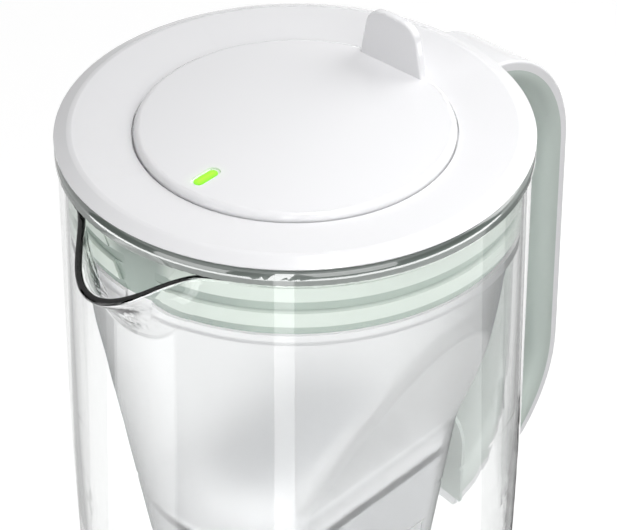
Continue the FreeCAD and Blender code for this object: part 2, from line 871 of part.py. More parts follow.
def cartridge_top():
    skin = HOPPER_WALL + CART_GAP
    low = CART_TOP + FIT
    base = low + CART_LID_T
    peak = base + GRIP_H
    hump = grip_hump(0, base, peak)
    hump = hump.makeFillet(GRIP_ROUND, edges_at(hump, lambda p: abs(p.z - peak) < 1e-3))
    top = well_body(skin + MESH_GAP, low, base).fuse(hump)
    top = top.cut(grip_hump(-GRIP_T, low - 1, peak - GRIP_T))
    for side in (-1, 1):
        y = side * (GRIP_W + GRIP_FOOT) / 2
        for k in range(-2, 3):
            x = GRIP_X + k * SLOT_STEP
            slot = box(x - SLOT_W / 2, x + SLOT_W / 2, y - SLOT_L / 2, y + SLOT_L / 2, low - 1, peak + 1)
            top = top.cut(slot)
    return top


def upper_mesh():
    skin = HOPPER_WALL + CART_GAP + CART_WALL + MESH_GAP
    return well_body(skin, CART_TOP - REST - MESH_T, CART_TOP - REST)


def lower_mesh():
    skin = HOPPER_WALL + CART_GAP + CART_WALL + MESH_GAP
    low = cart_low() + CART_FLOOR + FIT
    return well_body(skin, low, low + MESH_T)


def filter_media():
    skin = HOPPER_WALL + CART_GAP + CART_WALL + MESH_GAP
    low = cart_low() + CART_FLOOR + MESH_T + 2 * FIT
    return well_body(skin, low, CART_TOP - REST - MESH_T - FIT)


PIECES = [
    glass_jug, handle_shell, handle_cover, handle_upper_foot, handle_lower_foot,
    hopper, seal_ring,
    lid_cover, lid_skirt, hinge_pin,
    flap_cap, flap_liner, light_window, light_diode, circuit_board, coin_cell, cell_clip,
    pod_housing, pod_seal, pod_screws,
    cartridge_body, cartridge_top, cartridge_seal, upper_mesh, lower_mesh, filter_media,
]

for piece in PIECES:
    save(piece.__name__, piece())
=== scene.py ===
# %% [markdown]
# Dressing a glass water filter pitcher.
# The frame holds every piece of the pitcher at its real size, in metres, with the handle at +X and the
# spout at -X. Shapes that are already right stay as they are, so this lesson is mostly about finish:
# clear glass, frosted plastic, white and sage mouldings, and a small green light. The strainers and the
# filter grains are the two things that repeat, and those are grown with Geometry Nodes.

# %% Load the frame
import json
import math
import bpy
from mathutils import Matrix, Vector


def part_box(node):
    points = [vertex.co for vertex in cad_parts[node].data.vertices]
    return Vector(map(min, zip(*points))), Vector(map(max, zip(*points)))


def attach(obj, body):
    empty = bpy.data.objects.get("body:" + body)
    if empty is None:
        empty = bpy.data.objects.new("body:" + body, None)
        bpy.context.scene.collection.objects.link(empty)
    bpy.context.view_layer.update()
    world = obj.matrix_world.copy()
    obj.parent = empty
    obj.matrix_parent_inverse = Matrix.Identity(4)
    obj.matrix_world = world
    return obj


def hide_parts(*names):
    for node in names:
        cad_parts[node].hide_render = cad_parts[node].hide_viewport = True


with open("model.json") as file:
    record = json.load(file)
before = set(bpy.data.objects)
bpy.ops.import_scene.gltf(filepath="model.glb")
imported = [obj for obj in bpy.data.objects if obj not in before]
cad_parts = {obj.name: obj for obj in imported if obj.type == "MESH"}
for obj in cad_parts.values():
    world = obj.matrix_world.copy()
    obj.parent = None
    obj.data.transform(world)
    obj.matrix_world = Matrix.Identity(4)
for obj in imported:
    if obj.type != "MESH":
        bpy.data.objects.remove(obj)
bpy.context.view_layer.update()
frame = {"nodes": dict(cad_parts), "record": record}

scene = bpy.context.scene
nodes = frame["nodes"]
slot_of = {part["node"]: part["material_slot"] for part in frame["record"]["subparts"]}

# %% [markdown]
# The camera stands high at the spout's side and looks down on the lid with a long lens, so the walls of
# the jug stay nearly parallel. It is placed by an angle round the jug, a pitch and a distance, which are
# easier to correct one at a time than three coordinates.

# %% Camera
FRAME_WIDTH = 617
FOCAL_PIXELS = 3400
SENSOR = 36.0
CAMERA_TURN = math.radians(-47.8)
CAMERA_PITCH = math.radians(35.6)
CAMERA_DISTANCE = 1.0494
AIM_HEIGHT = 0.205
AIM_SIDE = 0.004

right = Vector((math.cos(CAMERA_TURN), math.sin(CAMERA_TURN), 0))
ahead = Vector((-math.sin(CAMERA_TURN), math.cos(CAMERA_TURN), 0))
up = Vector((0, 0, 1))
aim = right * AIM_SIDE + up * AIM_HEIGHT
looking = ahead * math.cos(CAMERA_PITCH) - up * math.sin(CAMERA_PITCH)

camera = bpy.data.objects.new("camera", bpy.data.cameras.new("camera"))
camera.data.sensor_width = SENSOR
camera.data.lens = FOCAL_PIXELS * SENSOR / FRAME_WIDTH
camera.location = aim - looking * CAMERA_DISTANCE
camera.rotation_euler = (math.pi / 2 - CAMERA_PITCH, 0, CAMERA_TURN)
scene.collection.objects.link(camera)
scene.camera = camera
print("camera:", round(camera.data.lens, 1), "mm lens at", [round(x, 3) for x in camera.location])

# %% [markdown]
# Every tree of nodes below is built with the same few helpers. One adds a node and fills its inputs,
# where an input can be a plain value or another node's output. Another starts a group with named
# sockets, so that an effect is written once and used by several finishes.

# %% Node helpers
VALUE = "NodeSocketFloat"
COUNT = "NodeSocketInt"
COLOUR = "NodeSocketColor"
VECTOR = "NodeSocketVector"
GEOMETRY = "NodeSocketGeometry"


def add(tree, kind, inputs=None, **settings):
    """New node with its settings and inputs; an output given as an input is linked."""
    node = tree.nodes.new(kind)
    for name, value in settings.items():
        setattr(node, name, value)
    for name, value in (inputs or {}).items():
        if isinstance(value, bpy.types.NodeSocket):
            tree.links.new(value, node.inputs[name])
        else:
            node.inputs[name].default_value = value
    return node


def math_node(tree, operation, *values):
    return add(tree, "ShaderNodeMath", dict(enumerate(values)), operation=operation).outputs[0]


def split(tree, vector):
    """X, Y and Z of a vector."""
    return add(tree, "ShaderNodeSeparateXYZ", {0: vector}).outputs


def length(tree, first, second):
    """Length of an arrow with these two sides."""
    squares = [math_node(tree, "POWER", side, 2.0) for side in (first, second)]
    return math_node(tree, "SQRT", math_node(tree, "ADD", *squares))


def mix_colours(tree, factor, first, second):
    """First colour where the factor is zero, second where it is one."""
    return add(tree, "ShaderNodeMix", {0: factor, 6: first, 7: second}, data_type="RGBA").outputs[2]


def ramp(tree, value, start, end):
    """Smooth step from zero at the start to one at the end."""
    return add(tree, "ShaderNodeMapRange", {"Value": value, "From Min": start, "From Max": end},
               interpolation_type="SMOOTHSTEP").outputs[0]


def start_group(name, kind, inputs, outputs):
    """Empty group with named sockets, its input node's outputs and its output node."""
    tree = bpy.data.node_groups.new(name, kind)
    for label, socket_type, default in inputs:
        socket = tree.interface.new_socket(label, in_out="INPUT", socket_type=socket_type)
        if default is not None:
            socket.default_value = default
    for label, socket_type in outputs:
        tree.interface.new_socket(label, in_out="OUTPUT", socket_type=socket_type)
    return tree, tree.nodes.new("NodeGroupInput").outputs, tree.nodes.new("NodeGroupOutput")


def new_material(name):
    """Empty material, its tree and its output node."""
    material = bpy.data.materials.new(name)
    material.use_nodes = True
    tree = material.node_tree
    tree.nodes.clear()
    return material, tree, add(tree, "ShaderNodeOutputMaterial")


def own_place(tree):
    """Coordinates of the piece itself, in metres."""
    return add(tree, "ShaderNodeTexCoord").outputs["Object"]


def grey(level):
    return (level, level, level, 1)


print("helpers ready")

# %% [markdown]
# The pitcher stands on a plain white sweep. Its floor still takes the shadow, but for the camera, and for
# what shows in and through the glass, a steady white is added so that the background stays paper white
# without any more light on the pitcher itself.

# %% Floor and world
FLOOR_SIZE = 3.0
FLOOR_DROP = 0.0003
FLOOR_WHITE = 0.86
FLOOR_GLOW = 0.93
FLOOR_SHARE = 0.2
WORLD_SEEN = 1.0
WORLD_LIGHT = 0.08


def seen_rays(tree):
    """One for rays from the eye, in reflections and through glass, zero for light that scatters."""
    path = add(tree, "ShaderNodeLightPath").outputs
    mirrored = math_node(tree, "MAXIMUM", path["Is Glossy Ray"], path["Is Transmission Ray"])
    return math_node(tree, "MAXIMUM", path["Is Camera Ray"], mirrored)


def floor_material():
    material, tree, output = new_material("white_sweep")
    shaded = add(tree, "ShaderNodeBsdfDiffuse", {"Color": grey(FLOOR_WHITE)})
    faint = add(tree, "ShaderNodeBsdfDiffuse", {"Color": grey(FLOOR_SHARE)})
    glow = add(tree, "ShaderNodeEmission", {"Strength": FLOOR_GLOW})
    white = add(tree, "ShaderNodeAddShader", {0: faint.outputs[0], 1: glow.outputs[0]})
    mix = add(tree, "ShaderNodeMixShader", {0: seen_rays(tree), 1: shaded.outputs[0], 2: white.outputs[0]})
    tree.links.new(mix.outputs[0], output.inputs["Surface"])
    return material


def stage_plane(name, size, material):
    half = size / 2
    corners = [(-half, -half, 0), (half, -half, 0), (half, half, 0), (-half, half, 0)]
    mesh = bpy.data.meshes.new(name)
    mesh.from_pydata(corners, [], [(0, 1, 2, 3)])
    mesh.materials.append(material)
    plane = bpy.data.objects.new(name, mesh)
    scene.collection.objects.link(plane)
    return plane


floor = stage_plane("floor", FLOOR_SIZE, floor_material())
floor.location.z = -FLOOR_DROP

world = bpy.data.worlds.new("studio")
world.use_nodes = True
world.node_tree.nodes.clear()
white = add(world.node_tree, "ShaderNodeBackground", {"Strength": WORLD_SEEN})
soft = add(world.node_tree, "ShaderNodeBackground", {"Strength": WORLD_LIGHT})
mix = add(world.node_tree, "ShaderNodeMixShader",
          {0: seen_rays(world.node_tree), 1: soft.outputs[0], 2: white.outputs[0]})
add(world.node_tree, "ShaderNodeOutputWorld", {"Surface": mix.outputs[0]})
scene.world = world
scene.view_settings.view_transform = "Standard"
print("studio: white sweep", FLOOR_SIZE, "m wide, world at", WORLD_LIGHT)

# %% [markdown]
# The key lamp hangs high over the front right of the lid and sends a narrow beam straight down, so a lid
# that is lifted out is lit much as it is at rest. Three wide lamps aim at the pitcher: one at the handle's
# side whitens the top of the handle, one in front lights the grip, and one fills the spout's side. Places
# are given from where the camera stands.

# %% Lamps
WIDE = 180.0


def soft_lamp(name, side, near, height, size, power, spread=WIDE):
    """Lamp to the camera's right, towards it and up; a narrow one points down, a wide one at the jug."""
    data = bpy.data.lights.new(name, "AREA")
    data.shape = "SQUARE"
    data.size = size
    data.energy = power
    lamp = bpy.data.objects.new(name, data)
    lamp.location = right * side - ahead * near + up * height
    if spread < WIDE:
        data.spread = math.radians(spread)
    else:
        lamp.rotation_euler = (aim - lamp.location).to_track_quat("-Z", "Y").to_euler()
    lamp.visible_camera = False
    scene.collection.objects.link(lamp)
    return lamp


lamps = [
    soft_lamp("key", side=0.1, near=0.1, height=0.95, size=0.16, power=0.41, spread=60.0),
    soft_lamp("handle_side", side=0.38, near=-0.2, height=0.52, size=0.5, power=1.9),
    soft_lamp("front", side=0.35, near=0.75, height=0.58, size=0.6, power=2.5),
    soft_lamp("fill", side=-0.7, near=0.7, height=0.45, size=0.6, power=2.6),
]
print("lamps:", [lamp.name for lamp in lamps])

# %% [markdown]
# Clear glass and gloss are drawn by what stands round them. Slices of rings are laid round the pitcher,
# out of the picture, where only reflected and bent rays see them. Two wide grey ones at the back are seen
# in reflections alone, and two smaller ones are what the edge of the glass bends into view as a soft line.
# Bright ones leave reflections down the front. Two bright ones and a black one, far out in front, draw the
# lines along the glossy bead under the lid.

# %% Reflection sheets
SHEET_LIFT = 0.001
SLICE_STEP = math.radians(4)


def ring_sheet(name, start, end, inner, outer, strength, bent=True, low=SHEET_LIFT, high=SHEET_LIFT):
    """Slice of a ring round the jug; angles in degrees from the camera's side, to the right."""
    steps = max(2, math.ceil(math.radians(end - start) / SLICE_STEP))
    points = []
    for k in range(steps + 1):
        angle = math.radians(start + (end - start) * k / steps)
        way = right * math.sin(angle) - ahead * math.cos(angle)
        points += [way * inner + up * low, way * outer + up * high]
    mesh = bpy.data.meshes.new(name)
    mesh.from_pydata(points, [], [(2 * k, 2 * k + 1, 2 * k + 3, 2 * k + 2) for k in range(steps)])
    material, tree, output = new_material(name)
    glow = add(tree, "ShaderNodeEmission", {"Strength": strength})
    tree.links.new(glow.outputs[0], output.inputs["Surface"])
    mesh.materials.append(material)
    sheet = bpy.data.objects.new(name, mesh)
    scene.collection.objects.link(sheet)
    sheet.visible_camera = sheet.visible_diffuse = sheet.visible_shadow = False
    sheet.visible_transmission = bent
    return sheet


sheets = [
    ring_sheet("grey_left", -140, -97, 0.085, 0.7, strength=0.6, bent=False),
    ring_sheet("grey_right", 95, 143, 0.085, 0.7, strength=0.18, bent=False),
    ring_sheet("edge_left", -140, -116, 0.16, 0.42, strength=0.6),
    ring_sheet("edge_right", 116, 140, 0.16, 0.42, strength=0.5),
    ring_sheet("strip_front", -9.2, -0.3, 0.2, 0.5, strength=2.6),
    ring_sheet("panel_left", -91, -55, 0.2, 0.4, strength=2.2),
    ring_sheet("bead_light", -100, 100, 0.57, 1.4, strength=5.0, bent=False),
    ring_sheet("bead_strip", -9.2, -0.3, 1.35, 1.35, strength=6.0, bent=False, high=1.5),
    ring_sheet("bead_flag", -100, 100, 1.4, 1.4, strength=0.0, bent=False, high=1.2),
]
print("sheets:", [sheet.name for sheet in sheets])

# %% [markdown]
# Moulded plastic is never one flat colour: the shade drifts a little over the piece, the gloss changes
# with how the mould was polished, and a fine grain breaks up the highlights. One group holds these three
# and each plastic gives it its own numbers.

# %% Shader group: moulded skin
POLISH_FINENESS = 3.0


def make_moulded_skin():
    tree, given, out = start_group("moulded skin", "ShaderNodeTree", [
        ("Vector", VECTOR, None),
        ("Colour", COLOUR, None),
        ("Drift", VALUE, 0.04),
        ("Drift Scale", VALUE, 20.0),
        ("Roughness", VALUE, 0.3),
        ("Gloss Drift", VALUE, 0.08),
        ("Grain Scale", VALUE, 2500.0),
    ], [("Colour", COLOUR), ("Roughness", VALUE), ("Height", VALUE)])

    def noise(scale, detail):
        inputs = {"Vector": given["Vector"], "Scale": scale, "Detail": detail}
        return add(tree, "ShaderNodeTexNoise", inputs).outputs[0]

    def swing(value, amount):
        """Turns noise about one half into a swing about zero."""
        return math_node(tree, "MULTIPLY", math_node(tree, "SUBTRACT", value, 0.5), amount)

    drift = swing(noise(given["Drift Scale"], 3.0), given["Drift"])
    tint = add(tree, "ShaderNodeVectorMath", {0: given["Colour"]}, operation="SCALE")
    tree.links.new(math_node(tree, "ADD", drift, 1.0), tint.inputs["Scale"])
    polish = noise(math_node(tree, "MULTIPLY", given["Drift Scale"], POLISH_FINENESS), 4.0)
    rough = math_node(tree, "ADD", given["Roughness"], swing(polish, given["Gloss Drift"]))
    tree.links.new(tint.outputs[0], out.inputs["Colour"])
    tree.links.new(rough, out.inputs["Roughness"])
    tree.links.new(noise(given["Grain Scale"], 2.0), out.inputs["Height"])
    return tree


moulded_skin = make_moulded_skin()
print("group:", moulded_skin.name)

# %% [markdown]
# The plastics share one recipe: the moulded skin feeds colour, roughness and a shallow bump, and the rest
# is set on the shader itself. White gloss is the lid and the handle's shell, sage matte the grip that fills
# it, and the grey seals are soft rubber with a stronger grain. The cartridge is duller, its grey base partly
# painted shade for the dim inside of the covered hopper, and its own lid is a white plate whose grip ridge
# is painted grey towards the top as shade where the lid keeps the light off.

# %% Plastic finishes
GRAIN_DEPTH = 0.0002
LID_GLOSS = 0.1
CARTRIDGE_GLOSS = 0.35
WHITE = (0.84, 0.84, 0.855)
SAGE = (0.47, 0.53, 0.495)
RUBBER = (0.075, 0.078, 0.08)
PLATE_WHITE = (0.95, 0.95, 0.955)
# Painted shade: the top of the cartridge lid's grip ridge, darkened where the pitcher's lid keeps light off.
RIDGE_TOP_SHADE = (0.6, 0.605, 0.615)
# The cartridge's grey-white, darkened further as painted shade for the dim inside of the covered hopper.
CARTRIDGE_GREY_AND_SHADE = (0.62, 0.625, 0.635)


def skin_node(tree, colour, roughness, drift=0.03, drift_scale=18.0, gloss_drift=0.06, grain_scale=2500.0):
    return add(tree, "ShaderNodeGroup", {
        "Vector": own_place(tree), "Colour": (*colour, 1), "Drift": drift, "Drift Scale": drift_scale,
        "Roughness": roughness, "Gloss Drift": gloss_drift, "Grain Scale": grain_scale},
        node_tree=moulded_skin).outputs


def bump_node(tree, strength, height, depth=GRAIN_DEPTH):
    inputs = {"Strength": strength, "Distance": depth, "Height": height}
    return add(tree, "ShaderNodeBump", inputs).outputs[0]


def plastic(name, colour, roughness, grain=0.03, **skin_values):
    """Moulded skin on the plain shader; returns the material and its shader."""
    material, tree, output = new_material(name)
    skin = skin_node(tree, colour, roughness, **skin_values)
    shader = add(tree, "ShaderNodeBsdfPrincipled", {
        "Base Color": skin["Colour"], "Roughness": skin["Roughness"],
        "Normal": bump_node(tree, grain, skin["Height"])})
    tree.links.new(shader.outputs[0], output.inputs["Surface"])
    return material, shader


def cartridge_lid_finish():
    """White plate with a grip ridge painted grey towards its top, as shade where the lid keeps the light off.
    """
    material, shader = plastic("cartridge_lid", PLATE_WHITE, CARTRIDGE_GLOSS)
    tree = material.node_tree
    low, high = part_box("cartridge_top")
    height = split(tree, own_place(tree))["Z"]
    # Painted shade that grows towards the top of the ridge.
    ridge_top_shade = ramp(tree, height, (low.z + high.z) / 2, high.z)
    skin = shader.inputs["Base Color"].links[0].from_socket
    tree.links.new(mix_colours(tree, ridge_top_shade, skin, (*RIDGE_TOP_SHADE, 1)), shader.inputs["Base Color"])
    return material


white_gloss, _ = plastic("white_gloss", WHITE, LID_GLOSS)
sage_matte, _ = plastic("sage_matte", SAGE, 0.42, grain=0.06)
grey_rubber, _ = plastic("grey_rubber", RUBBER, 0.5, grain=0.1)
cartridge_grey_and_shade, _ = plastic("cartridge_grey_and_shade", CARTRIDGE_GREY_AND_SHADE, CARTRIDGE_GLOSS)
cartridge_lid = cartridge_lid_finish()
print("plastics:", white_gloss.name, sage_matte.name, grey_rubber.name, cartridge_lid.name)

# %% [markdown]
# The sage ring seals the hopper in the jug. Its ribs press on the glass and keep the pale sage of the
# plastic, the grooves between them are painted darker as shade, and the bead that closes the top is polished,
# its deeper tone partly its own and partly painted shade under the lid's edge. All three are turned round the
# jug's axis, so one distance from the axis is enough to tell them apart. The throat of the pouring recess is
# painted darker still as shade, and is known by how far it lies towards the spout.

# %% Seal ring
RIB = (0.5, 0.555, 0.51)
# Painted shade: the grooves, and the throat of the pouring recess, are coloured darker where little light
# reaches.
GROOVE_SHADE = (0.3, 0.36, 0.32)
THROAT_SHADE = (0.24, 0.29, 0.26)
THROAT_REACH = (0.055, 0.064)
# The bead's dark base is partly its own deep sage and partly painted shade under the lid's edge.
BEAD_SAGE_AND_SHADE = (0.2, 0.235, 0.215)
RIB_PROUD = 0.0003
GROOVE_DEPTH = 0.0013
SEAL_GLOSS = 0.26
SEAL_GRAIN = 0.03
BEAD_IOR = 2.0
BEAD_GLOSS = 0.03

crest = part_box("hopper")[1].x + RIB_PROUD
bead_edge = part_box("seal_ring")[1].x


def seal_ring_finish():
    material, tree, output = new_material("sage_seal")
    spot = split(tree, own_place(tree))
    away = length(tree, spot["X"], spot["Y"])
    on_rib = ramp(tree, away, crest - GROOVE_DEPTH, crest - GROOVE_DEPTH / 4)
    on_bead = ramp(tree, away, (crest * 3 + bead_edge) / 4, (crest * 2 + bead_edge) / 3)
    in_throat = ramp(tree, math_node(tree, "MULTIPLY", spot["X"], -1.0), *THROAT_REACH)
    skin = skin_node(tree, RIB, SEAL_GLOSS, gloss_drift=0.05)
    # Painted shade in the grooves, darker still in the throat.
    painted_groove_shade = mix_colours(tree, in_throat, (*GROOVE_SHADE, 1), (*THROAT_SHADE, 1))
    ribs_and_groove_shade = mix_colours(tree, on_rib, painted_groove_shade, skin["Colour"])
    shader = add(tree, "ShaderNodeBsdfPrincipled", {
        "Base Color": mix_colours(tree, on_bead, ribs_and_groove_shade, (*BEAD_SAGE_AND_SHADE, 1)), "Roughness": skin["Roughness"],
        "Coat Weight": on_bead, "Coat IOR": BEAD_IOR, "Coat Roughness": BEAD_GLOSS,
        "Normal": bump_node(tree, SEAL_GRAIN, skin["Height"])})
    tree.links.new(shader.outputs[0], output.inputs["Surface"])
    return material


sage_seal = seal_ring_finish()
print("seal ring: ribs at", round(crest * 1000, 2), "mm, bead at", round(bead_edge * 1000, 2), "mm")

# %% [markdown]
# The change indicator is a bar of light sunk in the flap, and the white plastic round it glows a little.
# The group gives a mask that is one on the bar and fades with the distance from it.

# %% Shader group: bar glow
def make_bar_glow():
    tree, given, out = start_group("bar glow", "ShaderNodeTree", [
        ("Vector", VECTOR, None),
        ("Centre", VALUE, 0.0),
        ("Half Length", VALUE, 0.003),
        ("Reach", VALUE, 0.006),
    ], [("Glow", VALUE)])
    spot = split(tree, given["Vector"])
    along = math_node(tree, "ABSOLUTE", math_node(tree, "SUBTRACT", spot["X"], given["Centre"]))
    past = math_node(tree, "MAXIMUM", math_node(tree, "SUBTRACT", along, given["Half Length"]), 0.0)
    away = math_node(tree, "DIVIDE", length(tree, past, spot["Y"]), given["Reach"])
    near = math_node(tree, "MAXIMUM", math_node(tree, "SUBTRACT", 1.0, away), 0.0)
    tree.links.new(math_node(tree, "POWER", near, 2.0), out.inputs["Glow"])
    return tree


bar_glow = make_bar_glow()
print("group:", bar_glow.name)

# %% [markdown]
# The flap is the same white plastic with the green light soaking into it round the bar. The bar itself is
# brightest along its middle and falls to a darker green where the plastic meets the flap.

# %% Glowing flap and light bar
LIME = (0.33, 0.95, 0.02, 1)
DARK = grey(0)
BAR_GREEN = (0.2, 0.6, 0.02)
window_low, window_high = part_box("light_window")
bar_middle = (window_low.x + window_high.x) / 2
bar_half = (window_high.x - window_low.x) / 2 - window_high.y


def glowing_plastic(name, colour, roughness, reach, strength, least):
    """Plastic lit by the bar: full on the bar, fading to the least glow at the reach."""
    material, shader = plastic(name, colour, roughness)
    tree = material.node_tree
    glow = add(tree, "ShaderNodeGroup", {
        "Vector": own_place(tree), "Centre": bar_middle, "Half Length": bar_half, "Reach": reach},
        node_tree=bar_glow)
    level = math_node(tree, "MAXIMUM", glow.outputs[0], least)
    tree.links.new(mix_colours(tree, level, DARK, LIME), shader.inputs["Emission Color"])
    shader.inputs["Emission Strength"].default_value = strength
    return material


flap_white = glowing_plastic("flap_white", WHITE, LID_GLOSS, reach=0.006, strength=0.16, least=0.0)
light_bar = glowing_plastic("light_bar", BAR_GREEN, 0.3, reach=0.0045, strength=1.0, least=0.3)
print("light bar:", round(bar_half * 2000, 1), "mm long at x", round(bar_middle, 4))

# %% [markdown]
# Clear glass bends what is behind it, reflects a little everywhere and darkens only where the eye looks
# along the wall. Lamps are let straight through with a transparent shader for shadow rays, which keeps the
# pieces inside evenly lit, and a weak absorption gives the edges their grey. The hopper is the same idea
# with a rough surface, which blurs the cartridge behind it, and a shade that gathers where its wall turns
# away. The sloping shelf of the well is kept clear of most of that shade.

# %% Glass and frosted plastic
GLASS_TINT = (0.994, 0.997, 0.996, 1)
GLASS_IOR = 1.5
GLASS_INSIDE = (0.75, 0.82, 0.8, 1)
GLASS_DENSITY = 12.0
GLASS_SHADOW = 0.95
WAVE_STRETCH = (1, 1, 0.15)
WAVE_SCALE = 30.0
WAVE_STRENGTH = 0.02
WAVE_DEPTH = 0.0005
FROST = (0.985, 0.987, 0.99)
FROST_EDGE = (0.0, 0.012, 0.016)
FROST_TURN = (0.4, 1.0)
FROST_BLUR = 0.4
FROST_IOR = 1.2
FROST_SHADOW = 0.9
SHELF_TIP = (0.2, 0.36)
SHELF_CLEAR = 0.7


def see_through(material, shader, output, shadow):
    """Joins a glassy shader to the output and lets lamps through it, dimmed by the shadow's level."""
    tree = material.node_tree
    clear = add(tree, "ShaderNodeBsdfTransparent", {"Color": grey(shadow)})
    in_shadow = add(tree, "ShaderNodeLightPath").outputs["Is Shadow Ray"]
    mix = add(tree, "ShaderNodeMixShader", {0: in_shadow, 1: shader.outputs[0], 2: clear.outputs[0]})
    tree.links.new(mix.outputs[0], output.inputs["Surface"])


def clear_glass():
    material, tree, output = new_material("clear_glass")
    drawn = add(tree, "ShaderNodeMapping", {"Vector": own_place(tree), "Scale": WAVE_STRETCH}).outputs[0]
    wave = add(tree, "ShaderNodeTexNoise", {"Vector": drawn, "Scale": WAVE_SCALE, "Detail": 1.0}).outputs[0]
    shader = add(tree, "ShaderNodeBsdfPrincipled", {
        "Base Color": GLASS_TINT, "Roughness": 0.0, "IOR": GLASS_IOR, "Transmission Weight": 1.0,
        "Normal": bump_node(tree, WAVE_STRENGTH, wave, WAVE_DEPTH)})
    see_through(material, shader, output, GLASS_SHADOW)
    inside = add(tree, "ShaderNodeVolumeAbsorption", {"Color": GLASS_INSIDE, "Density": GLASS_DENSITY})
    tree.links.new(inside.outputs[0], output.inputs["Volume"])
    return material


def frosted_plastic():
    material, tree, output = new_material("frosted_plastic")
    skin = skin_node(tree, FROST, FROST_BLUR, drift=0.012, drift_scale=25.0, grain_scale=3000.0)
    slant = add(tree, "ShaderNodeLayerWeight", {"Blend": 0.5}).outputs["Facing"]
    tip = split(tree, add(tree, "ShaderNodeNewGeometry").outputs["Normal"])["Z"]
    on_shelf = ramp(tree, math_node(tree, "ABSOLUTE", tip), *SHELF_TIP)
    cleared = math_node(tree, "MULTIPLY", on_shelf, SHELF_CLEAR)
    upright = math_node(tree, "SUBTRACT", 1.0, cleared)
    shade = math_node(tree, "MULTIPLY", ramp(tree, slant, *FROST_TURN), upright)
    shader = add(tree, "ShaderNodeBsdfPrincipled", {
        "Base Color": mix_colours(tree, shade, skin["Colour"], (*FROST_EDGE, 1)),
        "Roughness": skin["Roughness"], "IOR": FROST_IOR, "Transmission Weight": 1.0})
    see_through(material, shader, output, FROST_SHADOW)
    return material


glass = clear_glass()
frosted = frosted_plastic()
print("see-through:", glass.name, frosted.name)

# %% [markdown]
# The small parts sit inside the flap's pod: a steel cell and screws with fine turning marks, a brass clip,
# a green circuit board with paler tracks, and a diode of clear yellow resin. The metals share one recipe,
# where a noise stretched along one axis gives the marks of the tool. The strainers and the filter bed get
# plain finishes here too.

# %% Small parts
STEEL = (0.6, 0.6, 0.61)
BRASS = (0.72, 0.52, 0.22)
RESIN = (0.8, 0.78, 0.4)
WIRE_GREY = (0.7, 0.72, 0.72)
GRAIN_BLACK = (0.014, 0.014, 0.015)
MARK_SCALE = 900.0
MARK_STRENGTH = 0.08
BOARD_PATTERN = {
    "Color1": (0.02, 0.12, 0.035, 1), "Color2": (0.024, 0.135, 0.04, 1), "Mortar": (0.07, 0.24, 0.08, 1),
    "Scale": 300.0, "Mortar Size": 0.06, "Brick Width": 1.4, "Row Height": 0.4,
}


def turned_metal(name, colour, roughness, stretch):
    material, tree, output = new_material(name)
    drawn = add(tree, "ShaderNodeMapping", {"Vector": own_place(tree), "Scale": stretch}).outputs[0]
    marks = add(tree, "ShaderNodeTexNoise", {"Vector": drawn, "Scale": MARK_SCALE, "Detail": 3.0}).outputs[0]
    skin = skin_node(tree, colour, roughness, drift=0.08, drift_scale=120.0)
    shader = add(tree, "ShaderNodeBsdfPrincipled", {
        "Base Color": skin["Colour"], "Roughness": skin["Roughness"], "Metallic": 1.0,
        "Normal": bump_node(tree, MARK_STRENGTH, marks)})
    tree.links.new(shader.outputs[0], output.inputs["Surface"])
    return material


def circuit_green():
    material, tree, output = new_material("board_green")
    cells = add(tree, "ShaderNodeTexBrick", {"Vector": own_place(tree), **BOARD_PATTERN})
    skin = skin_node(tree, (1, 1, 1), 0.35)
    shader = add(tree, "ShaderNodeBsdfPrincipled", {
        "Base Color": cells.outputs["Color"], "Roughness": skin["Roughness"]})
    tree.links.new(shader.outputs[0], output.inputs["Surface"])
    return material


steel = turned_metal("steel", STEEL, 0.28, stretch=(1, 1, 0.05))
brass = turned_metal("brass", BRASS, 0.3, stretch=(0.05, 1, 1))
board_green = circuit_green()
resin, _ = plastic("yellow_resin", RESIN, 0.2)
strainer, _ = plastic("strainer_wire", WIRE_GREY, 0.45, grain=0.05)
grains, _ = plastic("black_grains", GRAIN_BLACK, 0.62, drift=0.9, drift_scale=500.0, grain=0.4)
print("small parts:", steel.name, brass.name, board_green.name, resin.name)

# %% [markdown]
# Every piece of the frame now gets the finish of its material slot. The flap's cap has its own, because it
# carries the glow, and so have the body and the lid of the cartridge, whose greys carry painted shade.

# %% Finishes on the frame
finishes = {
    "clear_glass": glass, "frosted_plastic": frosted, "white_gloss": white_gloss, "sage_plastic": sage_matte,
    "sage_seal": sage_seal, "grey_seal": grey_rubber, "steel": steel, "light_bar": light_bar, "diode": resin,
    "board": board_green, "contact": brass, "mesh": strainer, "media": grains,
}
own_finish = {"flap_cap": flap_white, "cartridge_body": cartridge_grey_and_shade, "cartridge_top": cartridge_lid}
for name, node in nodes.items():
    node.data.materials.clear()
    node.data.materials.append(own_finish.get(name, finishes[slot_of[name]]))
print("finishes:", sorted(finishes))

# %% [markdown]
# A tree of geometry nodes makes a piece from a few named sizes. The helper gives it those sizes, lets
# Blender work it out once and keeps the result as a plain mesh, so that nothing live is left on the piece.

# %% Geometry Nodes helper
WELD = 1e-6
FLAT = 0.5


def made_by(tree, name, start, sizes):
    """Plain piece that a tree makes from a starting mesh and its sizes."""
    piece = bpy.data.objects.new(name, start)
    scene.collection.objects.link(piece)
    maker = piece.modifiers.new("maker", "NODES")
    maker.node_group = tree
    for socket in tree.interface.items_tree:
        if socket.in_out == "INPUT" and socket.name in sizes:
            maker[socket.identifier] = sizes[socket.name]
    whole = piece.evaluated_get(bpy.context.evaluated_depsgraph_get())
    mesh = bpy.data.meshes.new_from_object(whole)
    piece.modifiers.remove(maker)
    piece.data = mesh
    return piece


def join(tree, parts):
    joined = add(tree, "GeometryNodeJoinGeometry")
    for part in parts:
        tree.links.new(part, joined.inputs[0])
    return joined.outputs[0]


